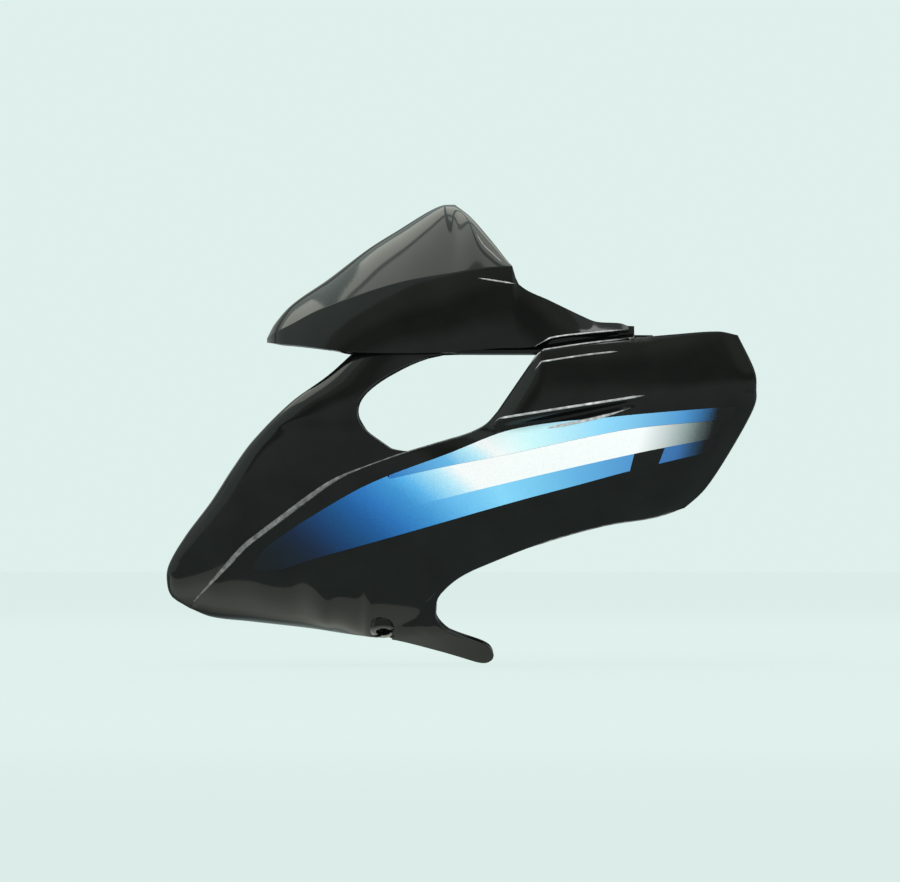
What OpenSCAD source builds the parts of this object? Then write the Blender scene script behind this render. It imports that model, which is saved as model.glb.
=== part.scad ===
// Headlight visor for a motorcycle: a front mask moulding with a headlight opening, two side
// windows and two legs, and an upper cowl lapped over it and held by four screws from inside.
// X is across (+X is the rider's left), Y runs rearward, Z is up.
// The origin is on the middle plane, half way along the part, level with the feet of the legs.

/* [Overall] */
// Length from the chin to the rear edge of the side panels
part_length = 401; // [385:1:420]
// Height from the feet of the legs to the peak of the cowl
part_height = 314; // [302:1:326]
// Width across the side panels at their fullest
part_width = 256; // [246:1:266]

/* [Mouldings] */
// Wall of both mouldings
wall = 2.6; // [2.2:0.1:3]
// How far the crown of a side panel stands out from its edges
panel_crown = 21; // [16:0.5:25]
// Depth of the wedge-shaped step in a side panel, at the window
step_depth = 5; // [3:0.5:6]
// How far the lap flange is set in from the face of the side panel
flange_inset = 7; // [6.5:0.1:7.5]
// Height of the lap flange at the window
flange_height = 18; // [17:0.5:19]
// Height of the lap flange at its rear end
flange_tail = 8; // [7:0.5:9]
// How far the bar over the headlight opening bows forward
bar_lead = 17; // [14:1:20]

/* [Fixings] */
// Diameter of the hole in each leg
leg_hole_d = 10; // [8:0.5:11]
// Diameter of the flat pad round the hole in a leg
leg_pad_d = 18; // [16:0.5:20]
// Thickness of the pad round the hole in a leg
leg_pad_t = 8; // [7.8:0.1:9]
// Diameter of the hole in each side tab
tab_hole_d = 8; // [6:0.5:9]
// Width of a side tab
tab_width = 16; // [15:0.5:18]
// Thickness of a side tab
tab_t = 3; // [2.5:0.5:4]
// Thread diameter of the cowl screws
screw_d = 4; // [3.5:0.1:4.5]
// Head diameter of the cowl screws
screw_head_d = 9; // [8:0.5:10]
// Head height of the cowl screws
screw_head_t = 2.6; // [2:0.1:3]
// Outer diameter of the screw bosses in the cowl
boss_d = 8; // [7.5:0.5:9]
// Play between the thread and the hole that it passes through
screw_play = 0.5; // [0.3:0.1:0.8]

/* [Stripes] */
// Thickness of the stripe films
film = 0.4; // [0.3:0.05:0.6]
// Layer of glue between a stripe film and the panel
glue = 0.3; // [0.2:0.05:0.4]

/* [Hidden] */
SIDES = ["left", "right"];
STRIPES = ["upper_stripe", "middle_stripe", "lower_stripe", "rear_block"];
SCREWS = ["front_screw", "rear_screw"];

// Size that the lines below are drawn for
drawn = [256, 401, 314];
fit = [part_width / drawn.x, part_length / drawn.y, part_height / drawn.z];
black = [0.05, 0.055, 0.06];
steel = [0.65, 0.66, 0.68];
stripe_colours = [[0.28, 0.47, 0.78], [0.86, 0.89, 0.92], [0.42, 0.62, 0.86], [0.4, 0.6, 0.85]];

// The lines of the left half, each point as [half width, y, z]
// Front edge of the bezel, from the point of the chin up to the cowl
opening_foot = 68;
front_line = [[0, -185, 40], [0, -196, 48], [0, -200.5, 57], [0, -198.5, 68], [8, -188, 87],
  [17, -170, 111], [25, -155, 134], [31, -141, 153], [40, -115, 179], [47, -90, 197], [52, -71, 214]];
// Crest between the bezel and the side panel, and on along the foot of the window
crest_line = [[0, -185, 40], [13, -172, 52], [23, -160, 65], [34, -146, 80], [43, -132, 91],
  [51, -116, 103], [58, -102, 113.5], [65, -85, 125], [71, -66, 134], [78, -42, 143],
  [87, -9, 153], [91, 7, 158], [94, 18, 164], [96, 26, 173]];
// Rear side of the window
window_side = [[96, 26, 173], [99, 48, 205], [100, 55, 214]];
// Top edge of the side panel
top_edge = [[100, 55, 214], [103, 85, 218.5], [105, 112, 221.5], [106, 144, 224.5],
  [106, 175, 226.5], [104, 188, 224]];
// Rear edge of the side panel, from the bottom up
rear_edge = [[108, 152, 107], [111, 166, 120], [114, 182, 144], [113, 198.5, 174],
  [112, 200.5, 188], [110, 199, 201], [104, 188, 224]];
// Keel of the chin, on the middle plane
keel_line = [[0, -185, 40], [0, -170, 33.5], [0, -143, 30.5], [0, -101, 26.5], [0, -85, 24]];
// Rear edge of the chin, out to the leg
arch_line = [[0, -85, 24], [25, -76, 22], [42, -63, 20]];
// Root of the leg
leg_root = [[42, -63, 20], [56, -42, 27], [70, -20, 36]];
// Lower edge of the side panel
lower_edge = [[70, -20, 36], [73, -15, 46], [79, -1, 59], [88, 22, 70], [97, 57, 83.5],
  [104, 98, 95], [107, 131, 100.5], [108, 152, 107]];
// Lower and upper edges of the leg, from its root to its foot
leg_lower = [[42, -63, 20], [50, -43, 16.5], [55, -13, 9], [57, 9, 2.5], [57.5, 17, 0]];
leg_upper = [[70, -20, 36], [69, -17, 26.5], [66, -3, 20], [62, 18, 13], [60, 25, 5]];
// Front side of the window, from its lower corner up
window_front = [[0, -42, 143], [0, -46, 146], [0, -56, 153], [0, -66, 161], [0, -70.5, 171],
  [0, -69, 180], [0, -62, 188.5], [0, -48, 198], [0, -24, 209], [0, 0, 214]];
// Crown of the side panel along its length, as a share of the full crown
crown_line = [[0, -185], [0.05, -150], [0.15, -100], [0.5, -50], [0.8, 0], [0.95, 60],
  [1, 120], [0.62, 165], [0, 188]];
// How round the section is at its foot along the panel: small where the chin turns under
section_line = [[0.7, -185], [0.42, -168], [0.3, -145], [0.24, -115], [0.2, -85], [0.75, -63],
  [1, -35], [1, 188]];
// Foot and top of the wedge-shaped step, from the window to where it runs out
step_foot = [[0, 26, 159.5], [0, 77, 170], [0, 128, 181]];
step_top = [[0, 26, 167], [0, 77, 175], [0, 128, 183]];
// Lower edge of the cowl, from its tip to the end of the arm
cowl_low = [[0, -132, 219.5], [17, -127, 219], [31, -115, 218], [46, -98, 216], [63, -74, 213],
  [78, -41.5, 212], [90, -9, 212.5], [98.5, 24, 215], [103.5, 49, 216], [104.5, 55, 219],
  [105, 62, 222.5], [106, 85, 225.5], [107, 114, 228]];
// Crease of the cowl, and on along the top of the arm
cowl_crease = [[0, -132, 222.5], [13, -127, 226], [24, -115, 232], [35, -98, 241], [47, -74, 250],
  [60, -41.5, 260], [71, -9, 265.5], [79, 18, 270], [83, 35.5, 271]];
cowl_corner = [[83, 35.5, 271], [86, 39.5, 259], [92, 62, 247]];
arm_top = [[92, 62, 247], [98.5, 87, 235], [100.5, 93, 233], [102, 109, 232], [103, 114, 230]];
// Ridge of the cowl on the middle plane, and its rear edge
ridge_line = [[0, -132, 222.5], [0, -127, 232], [0, -115, 245.5], [0, -90, 263], [0, -63, 283.5],
  [0, -41.5, 297], [0, -22, 309], [0, -12, 313.5], [0, -3.5, 314]];
rear_line = [[0, -3.5, 314], [26, 7.5, 305], [52, 22, 288], [73, 32, 275], [83, 35.5, 271]];
// Edges between the stripes, from the lowest up, as drawn in the side view
stripe_lines = [
  [[0, -143, 63.5], [0, -122, 65], [0, -100, 72], [0, -41.5, 88.5], [0, 36, 111], [0, 79, 122.5],
    [0, 116, 132.5], [0, 166, 144.5]],
  [[0, -143, 64], [0, -128, 70], [0, -109, 80], [0, -75, 93], [0, -41.5, 105], [0, 36, 125],
    [0, 119, 144], [0, 170, 154]],
  [[0, -56, 125], [0, -7, 135.5], [0, 36, 144], [0, 79, 153.5], [0, 119, 161], [0, 176, 166.5]],
  [[0, -143, 64.5], [0, -134, 78], [0, -120, 88.5], [0, -105, 98.5], [0, -63, 122.5], [0, -7, 144],
    [0, 36, 160], [0, 107, 169], [0, 176, 175]]];
// Each stripe: its lower and upper line, where it begins and ends, and its rows
stripe_spans = [[2, 3, -48, 175, 7], [1, 3, -142, 170, 6], [0, 1, -142, 127, 4], [0, 1, 146, 172, 3]];
// Width of the dark line between the upper and the middle stripe, and between the others
stripe_gap = 1.5;
stripe_seam = 0.3;

// Places of the stations along the side panel, each run from one corner to the next
function run(a, b, n) = [for (i = [0:n]) a + (b - a) * i / n];
chin_ys = run(-185, -85, 11);
arch_ys = run(-85, -63, 2);
root_ys = run(-63, -20, 4);
window_foot_ys = run(-20, 26, 6);
window_side_ys = run(26, 55, 4);
lap_ys = run(55, 118, 6);
rear_ys = concat(run(118, 168, 5), run(175, 188, 2));
// Rows of the side panel: below the step's foot as shares of that height, on the step, and above it
rows_below = [0, 0.05, 0.14, 0.28, 0.44, 0.6, 0.75, 0.88];
rows_on = [0, 0.35, 0.65];
rows_above = [0, 0.33, 0.66, 1];
bezel_columns = 6;
leg_steps = 7;
bar_columns = 6;
cowl_side_steps = 4;
cowl_top_steps = 5;

// Smooth curves through the points of a line
function slope(p, i, c) =
  let (a = max(i - 1, 0), b = min(i + 1, len(p) - 1)) (p[b] - p[a]) / (p[b][c] - p[a][c]);
function segment(p, c, w, i = 0) = i >= len(p) - 2 || w < p[i + 1][c] ? i : segment(p, c, w, i + 1);
function hermite(a, b, ma, mb, u) =
  (2 * pow(u, 3) - 3 * pow(u, 2) + 1) * a + (pow(u, 3) - 2 * pow(u, 2) + u) * ma
  + (3 * pow(u, 2) - 2 * pow(u, 3)) * b + (pow(u, 3) - pow(u, 2)) * mb;
// Point of a line where its coordinate c is w
function at(p, c, w) =
  let (i = segment(p, c, w), d = p[i + 1][c] - p[i][c], u = (w - p[i][c]) / d)
  hermite(p[i], p[i + 1], slope(p, i, c) * d, slope(p, i + 1, c) * d, u);
// Point of a line at the share s of its points
function along(p, s) =
  let (n = len(p) - 1, i = min(floor(s * n), n - 1), u = s * n - i,
    ma = (p[min(i + 1, n)] - p[max(i - 1, 0)]) / 2, mb = (p[min(i + 2, n)] - p[i]) / 2)
  hermite(p[i], p[i + 1], ma, mb, u);
function smooth(u) = let (w = min(max(u, 0), 1)) w * w * (3 - 2 * w);

// Upper and lower edge of the side panel at the station y
rear_top = top_edge[len(top_edge) - 1];
rear_foot = lower_edge[len(lower_edge) - 1];
corner_y = window_side[len(window_side) - 1].y;
function upper(y) = y <= 26 ? at(crest_line, 1, y) : y <= corner_y ? at(window_side, 1, y) : at(top_edge, 1, y);
function lower_y(y) = y <= corner_y ? y : corner_y + (y - corner_y) * (rear_foot.y - corner_y) / (rear_top.y - corner_y);
function lower(y) = y <= -85 ? at(keel_line, 1, y) : y <= -63 ? at(arch_line, 1, y)
  : y <= -20 ? at(leg_root, 1, y) : at(lower_edge, 1, lower_y(y));
// Wedge-shaped step that is deepest at the window and runs out towards the rear
function wedge(y, z) =
  let (w = min(max(y, 26), 128), foot = at(step_foot, 1, w).z, top = at(step_top, 1, w).z)
  step_depth * smooth((128 - y) / 102) * smooth((y + 8) / 34) * smooth((z - foot) / (top - foot));
// Point of the side panel at the station y and the share v of the way from its lower to its upper edge
function panel_place(y, v) =
  let (a = lower(y), b = upper(y), bow = along(rear_edge, v) - rear_foot - (rear_top - rear_foot) * v)
  [a.x + (b.x - a.x) * pow(v, at(section_line, 1, y)[0]), a.y + (b.y - a.y) * v, a.z + (b.z - a.z) * v]
  + smooth((y - 90) / (rear_top.y - 90)) * bow;
function panel_point(y, v) =
  let (p = panel_place(y, v), crown = panel_crown * at(crown_line, 1, y)[0] * 4 * v * (1 - v))
  [p.x + crown + wedge(p.y, p.z), p.y, p.z];
// Share at which the station y meets a line drawn in the side view
function share_of(line, y, tries = 8, v = 0.5) =
  tries == 0 ? v : let (p = panel_place(y, v), w = at(line, 1, p.y))
  share_of(line, y, tries - 1, v + (w.z - p.z) / (upper(y).z - lower(y).z));
function step_share(line, y) = share_of(line, min(max(y, 26), 112));
function row_shares(y) =
  let (a = step_share(step_foot, y), b = step_share(step_top, y))
  concat(rows_below * a, [for (r = rows_on) a + (b - a) * r], [for (r = rows_above) b + (1 - b) * r]);

// Bezel, at the height of a station's crest and the share f of the way from its front edge to the crest
sweep = 1.35;
fullness = 0.8;
function front(z) = let (p = at(front_line, 2, z)) [z <= opening_foot ? 0 : p.x, p.y, z];
function bezel_point(y, f) =
  let (c = panel_point(y, 1), a = front(c.z))
  f >= 1 ? c : [a.x + (c.x - a.x) * pow(f, fullness), a.y + (c.y - a.y) * pow(f, sweep), c.z];
function window_share(y) =
  let (c = panel_point(y, 1), a = front(c.z), w = at(window_front, 2, c.z))
  y == pillar_ys[0] ? 1 : pow(min((w.y - a.y) / (c.y - a.y), 1), 1 / sweep);

// Direction from the wall's inner face to its outer face, level with the middle plane there
function outward(p) =
  let (v = [60 * p.x / (p.x + 15), min(p.y - 20, 0) * 0.3,
    p.z < 100 ? (p.z - 100) * 0.8 : p.z > 225 ? (p.z - 225) * 0.6 : 0])
  v / norm(v);
function real(p) = [p.x * fit.x, p.y * fit.y, p.z * fit.z];

// A sheet is [grid of points, open edges], the edges being first row, last row, first column and last
// column. Rows run from the outer face's foot up and columns from the front rearward.
function flat(lists) = [for (l = lists) for (e = l) e];
function layer(g, depth) = [for (r = g) for (p = r) real(p) + depth * outward(p)];
function quad(a, b, c, d) = [[a, c, b], [a, d, c]];
function sheet_faces(g, edges, base) =
  let (n = len(g), m = len(g[0]), k = n * m)
  concat(
    flat([for (i = [0:n - 2]) for (j = [0:m - 2]) let (a = base + i * m + j, b = a + m)
      concat(quad(a, a + 1, b + 1, b), quad(a + k, b + k, b + 1 + k, a + 1 + k))]),
    flat([for (j = [0:m - 2]) let (a = base + j) edges[0] ? quad(a, a + k, a + 1 + k, a + 1) : []]),
    flat([for (j = [0:m - 2]) let (a = base + k - m + j) edges[1] ? quad(a, a + 1, a + 1 + k, a + k) : []]),
    flat([for (i = [0:n - 2]) let (a = base + i * m) edges[2] ? quad(a, a + m, a + m + k, a + k) : []]),
    flat([for (i = [0:n - 2]) let (a = base + i * m + m - 1) edges[3] ? quad(a, a + k, a + m + k, a + m) : []])
  );
function total(list, n, i = 0) = i >= n ? 0 : list[i] + total(list, n, i + 1);
function points_of(sheets, out, in) = flat([for (s = sheets) concat(layer(s[0], out), layer(s[0], in))]);
function faces_of(sheets, points) =
  let (sizes = [for (s = sheets) 2 * len(s[0]) * len(s[0][0])])
  [for (i = [0:len(sheets) - 1]) for (f = sheet_faces(sheets[i][0], sheets[i][1], total(sizes, i)))
    if (min([for (e = [0:2]) norm(points[f[e]] - points[f[(e + 1) % 3]])]) > 0.001) f];

// Both halves of a moulding, joined on the middle plane
module moulding(sheets) {
  half = points_of(sheets, 0, -wall);
  faces = faces_of(sheets, half);
  polyhedron(
    points = concat(half, [for (p = half) [-p.x, p.y, p.z]]),
    faces = concat(faces, [for (f = faces) [f[0] + len(half), f[2] + len(half), f[1] + len(half)]])
  );
}

function turned(g) = [for (j = [0:len(g[0]) - 1]) [for (r = g) r[j]]];
function panel_grid(ys) = turned([for (y = ys) [for (v = row_shares(y)) panel_point(y, v)]]);
function bezel_row(y, last) = [for (j = [0:bezel_columns]) bezel_point(y, last * j / bezel_columns)];

// Rows of the bezel stand at the height of the crest at each station
low_ys = concat(chin_ys, [for (y = concat(arch_ys, [-52.25, -41.5])) if (y > -85) y]);
closed_ys = [for (y = low_ys) if (upper(y).z <= opening_foot) y];
open_ys = concat([closed_ys[len(closed_ys) - 1]], [for (y = low_ys) if (upper(y).z > opening_foot) y]);
pillar_ys = concat([-41.5, -30.75], window_foot_ys, [for (y = window_side_ys) if (y > 26) y]);

// The rail over the window and the lap flange stand up from the same ledge
function tail_height(y) = flange_height + (flange_tail - flange_height) * (y - corner_y) / (118 - corner_y);
function lap_grid(row) = [row, [for (p = row) p + [-flange_inset, 0, 3]],
  [for (p = row) p + [-flange_inset, 0, p.y <= corner_y ? flange_height : tail_height(p.y)]]];
top_share = window_share(corner_y);
over_pillar = [for (j = [0:bezel_columns]) bezel_point(corner_y, top_share * j / bezel_columns)];
over_window = [for (f = run(top_share, 1, 4)) bezel_point(corner_y, f)];
over_panel = [for (y = lap_ys) panel_point(y, 1)];
function bar_point(s, p) = [s == 1 ? 0 : p.x * cos(90 * s), p.y - bar_lead * sin(90 * s), p.z];
bar_grid = [for (r = lap_grid([over_pillar[0]])) [for (s = run(1, 0, bar_columns)) bar_point(s, r[0])]];

// Leg, at the share s from its root to its foot and q from its lower to its upper edge
function leg_point(s, q) =
  let (a = along(leg_lower, s), b = along(leg_upper, s), ra = leg_root[0], rb = leg_root[len(leg_root) - 1],
    root = panel_point(ra.y + (rb.y - ra.y) * q, 0) - ra - (rb - ra) * q)
  a + (b - a) * q + root * (1 - s);
leg_grid = [for (s = run(1, 0, leg_steps)) [for (q = run(0, 1, 4)) leg_point(s, q)]];

mask_sheets = [
  [panel_grid(chin_ys), [false, false, false, false]],
  [panel_grid(arch_ys), [true, false, false, false]],
  [panel_grid([for (y = root_ys) if (y < -41) y]), [false, false, false, false]],
  [panel_grid([for (y = root_ys) if (y > -42) y]), [false, true, false, false]],
  [panel_grid(window_foot_ys), [true, true, false, false]],
  [panel_grid(window_side_ys), [true, true, false, false]],
  [panel_grid(lap_ys), [true, false, false, false]],
  [panel_grid(rear_ys), [true, true, false, true]],
  [[for (y = closed_ys) bezel_row(y, 1)], [false, false, false, false]],
  [[for (y = open_ys) bezel_row(y, 1)], [false, false, true, false]],
  [[for (y = pillar_ys) bezel_row(y, window_share(y))], [false, false, true, true]],
  [lap_grid(over_pillar), [false, true, false, false]],
  [lap_grid(over_window), [true, true, false, false]],
  [lap_grid(over_panel), [false, true, false, true]],
  [bar_grid, [true, true, false, false]],
  [leg_grid, [true, false, true, true]]
];

// Upper cowl: its side from the lower edge to the crease, and its top from there to the ridge
tip_ys = [-132, -127, -121, -113, -103, -92, -79, -66, -53, -41.5, -29, -16, -3.5];
back_ys = [-3.5, 6, 15, 24, 31, 35.5];
arm_ys = [35.5, 39.5, 47, 54, 62, 71, 79, 87, 93, 100, 107, 114];
function cowl_edge(y) = y <= 35.5 ? at(cowl_crease, 1, y) : y <= 62 ? at(cowl_corner, 1, y) : at(arm_top, 1, y);
function cowl_side_point(y, v) =
  let (a = at(cowl_low, 1, y), b = cowl_edge(y), p = a + (b - a) * v)
  [p.x + smooth((y + 132) / 30) * 3 * 4 * v * (1 - v), p.y, p.z];
function cowl_top_point(y, v) =
  let (a = cowl_edge(y), b = y <= -3.5 ? at(ridge_line, 1, y) : at(rear_line, 1, y))
  [a.x + (b.x - a.x) * v, y, a.z + (b.z - a.z) * (1 - pow(1 - v, 1.4))];
function cowl_side_grid(ys) = [for (v = run(0, 1, cowl_side_steps)) [for (y = ys) cowl_side_point(y, v)]];
function cowl_top_grid(ys) = [for (v = run(0, 1, cowl_top_steps)) [for (y = ys) cowl_top_point(y, v)]];
cowl_sheets = [
  [cowl_side_grid(tip_ys), [true, false, false, false]],
  [cowl_side_grid(back_ys), [true, false, false, false]],
  [cowl_side_grid(arm_ys), [true, true, false, true]],
  [cowl_top_grid(tip_ys), [false, false, false, false]],
  [cowl_top_grid(back_ys), [false, true, false, false]]
];

// Stripe films lie on the side panel, between two of the stripe lines
panel_ys = concat(chin_ys, arch_ys, root_ys, window_foot_ys, window_side_ys, lap_ys, rear_ys);
function stripe_ys(from, to) = concat([from],
  [for (i = [1:len(panel_ys) - 1]) let (y = panel_ys[i]) if (y > from + 1 && y < to - 1 && y > panel_ys[i - 1]) y], [to]);
function stripe_grid(k) =
  let (span = stripe_spans[k])
  turned([for (y = stripe_ys(span[2], span[3]))
    let (height = upper(y).z - lower(y).z, low = share_of(stripe_lines[span[0]], y),
      top = k == 1 && y > -48 ? share_of(stripe_lines[2], y) - stripe_gap / height
        : share_of(stripe_lines[span[1]], y) - stripe_seam / height)
    [for (v = run(low, top, span[4])) panel_point(y, v)]]);
module stripe(k) {
  sheets = [[stripe_grid(k), [true, true, true, true]]];
  points = points_of(sheets, glue + film, glue);
  polyhedron(points = points, faces = faces_of(sheets, points));
}

// Screw places on the outer face of the lap flange. Each is [a point of the panel's edge before it,
// the point after it, height of the flange there]
boss_drop = 5.5;
screw_spots = [
  [over_pillar[3], over_pillar[4], flange_height],
  [over_panel[1], over_panel[2], tail_height((lap_ys[1] + lap_ys[2]) / 2)]
];
screw_points = [for (s = screw_spots) real((s[0] + s[1]) / 2 + [-flange_inset, 0, s[2] - boss_drop])];
screw_turns = [for (s = screw_spots) let (d = real(s[1] - s[0])) atan2(d.x, d.y)];
// Distance along the screw's axis from the flange to the outer face of the cowl
function cowl_x(y, z) = let (a = at(cowl_low, 1, y), b = cowl_edge(y)) cowl_side_point(y, (z - a.z) / (b.z - a.z)).x;
cowl_reach = [for (k = [0, 1]) let (p = screw_points[k])
  (cowl_x(p.y / fit.y, p.z / fit.z) * fit.x - p.x) * cos(screw_turns[k])];
// How far a boss stays under the cowl's outer face, and a screw hole under the boss's end
boss_cover = 1.7;
hole_cover = 0.5;
seat_play = 0.1;
end_play = 0.3;
function hole_end(k) = cowl_reach[k] - boss_cover - hole_cover;

// What follows is drawn along the screw's axis, outward from the flange's outer face
module at_screw(k) translate(screw_points[k]) rotate([0, 0, -screw_turns[k]]) rotate([0, 90, 0]) children();
module each_side() { children(); mirror([1, 0, 0]) children(); }

// Flat pad round the hole in a leg, facing down and outward, in a flat recess of the leg
pad_tilt = 150;
// How far it stands proud of the leg's outer face
pad_stand = 1.2;
module at_leg_pad() translate(real(panel_point(-52.25, 0))) rotate([0, pad_tilt, 0]) children();
// Flat tab inside the rear end of the lap flange, with its hole upright and a neck up to the flange
tab_back = 5;
tab_top = 2;
neck_length = 11;
neck_rise = 4;
module tab() {
  corner = real(over_panel[len(over_panel) - 1]) - [flange_inset, 0, 0];
  start = [corner.x - tab_width, corner.y + tab_back - tab_width, corner.z + tab_top - tab_t];
  difference() {
    union() {
      translate(start) cube([tab_width, tab_width, tab_t]);
      translate(start + [tab_width / 2, tab_width, 0]) cylinder(h = tab_t, d = tab_width);
      translate(start + [tab_width - wall, 0, 0]) cube([wall, neck_length, tab_t + neck_rise]);
    }
    translate(start + [tab_width / 2, tab_width, -tab_t]) cylinder(h = 3 * tab_t, d = tab_hole_d);
  }
}

module headlight_mask() {
  color(black) difference() {
    union() {
      difference() {
        moulding(mask_sheets);
        each_side() at_leg_pad() translate([0, 0, pad_stand]) cylinder(h = 2 * leg_pad_t, d = leg_pad_d);
      }
      each_side() at_leg_pad() translate([0, 0, pad_stand - leg_pad_t]) cylinder(h = leg_pad_t, d = leg_pad_d);
      each_side() tab();
    }
    each_side() for (k = [0, 1]) at_screw(k)
      translate([0, 0, -2 * wall]) cylinder(h = 3 * wall, d = screw_d + screw_play);
    each_side() at_leg_pad() translate([0, 0, -2 * leg_pad_t]) cylinder(h = 4 * leg_pad_t, d = leg_hole_d);
  }
}

module upper_cowl() {
  color(black) difference() {
    union() {
      moulding(cowl_sheets);
      each_side() for (k = [0, 1]) at_screw(k)
        translate([0, 0, seat_play]) cylinder(h = cowl_reach[k] - boss_cover - seat_play, d = boss_d);
    }
    each_side() for (k = [0, 1]) at_screw(k) cylinder(h = hole_end(k), d = screw_d + seat_play);
  }
}

module screw(k) {
  color(steel) at_screw(k) translate([0, 0, -wall - seat_play]) {
    cylinder(h = hole_end(k) + wall + seat_play - end_play, d = screw_d);
    translate([0, 0, -screw_head_t]) difference() {
      cylinder(h = screw_head_t, d = screw_head_d);
      cylinder(h = screw_head_t * 0.6, d = screw_d * 0.7, $fn = 6);
    }
  }
}

module sided(side) { if (side == "left") children(); else mirror([1, 0, 0]) children(); }

headlight_mask();
upper_cowl();
for (side = SIDES) {
  for (k = [0, 1]) sided(side) screw(k);
  for (k = [0:3]) sided(side) color(stripe_colours[k]) stripe(k);
}
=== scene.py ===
# Motorcycle headlight visor: smooth mouldings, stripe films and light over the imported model.
# Lines are in millimetres as in the model's source; every mesh is made in metres.
import math

import bmesh
import bpy
import numpy as np
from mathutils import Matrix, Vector


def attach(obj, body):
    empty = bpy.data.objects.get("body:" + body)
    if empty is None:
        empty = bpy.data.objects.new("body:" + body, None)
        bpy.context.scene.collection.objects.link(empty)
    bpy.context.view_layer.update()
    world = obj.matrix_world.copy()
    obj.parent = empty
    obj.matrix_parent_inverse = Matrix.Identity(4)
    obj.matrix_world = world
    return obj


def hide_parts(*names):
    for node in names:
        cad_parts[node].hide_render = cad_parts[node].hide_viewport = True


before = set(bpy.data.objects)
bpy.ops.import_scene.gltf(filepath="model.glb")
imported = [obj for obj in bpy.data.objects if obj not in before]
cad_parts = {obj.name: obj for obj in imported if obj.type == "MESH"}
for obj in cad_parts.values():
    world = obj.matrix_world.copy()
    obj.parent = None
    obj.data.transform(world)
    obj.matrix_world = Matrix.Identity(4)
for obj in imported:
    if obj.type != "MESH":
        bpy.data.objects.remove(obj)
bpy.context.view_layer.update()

MM = 0.001

# Sizes of the mouldings and films
WALL = 2.6
CROWN = 21
STEP = 5
INSET = 7
LAP_LIFT = 3
FLANGE = 18
FLANGE_TAIL = 8
BAR_LEAD = 17
OPENING_FOOT = 68
GLUE = 0.14
FILM = 0.22
FILM_GAP = 0.12

# Stations along the mask, from the prow to the rear edge
PROW = -185
KEEL_END = -85
ARCH_END = -63
PILLAR = -41.5
NOTCH = -20
STEP_RISE = -8
CREST_END = 26
CORNER = 55.0
TWIST_START = 90
ROWS_END = 112
LAP_END = 118
STEP_END = 128
REAR = 188

# The groove along the step's foot: depth, reach below and up the step, and where it fades
GROOVE = 2.5
GROOVE_BELOW = 5
GROOVE_RUN = 4
GROOVE_TOP = 0.8
GROOVE_START = 14
GROOVE_RISE = 30
GROOVE_END = 124
GROOVE_FADE = 20

# How the frame round the opening curves in width and in depth
BEZEL_WIDTH = 0.8
BEZEL_DEPTH = 1.35

# Stations and form of the upper cowl
COWL_TIP = -132
PEAK = -3.5
COWL_CORNER = 35.5
ARM_START = 62
ARM_END = 114
COWL_BULGE = 3
BULGE_RUN = 30
BULGE_HEIGHT = 52
ROOF_CURVE = 1.4

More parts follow.
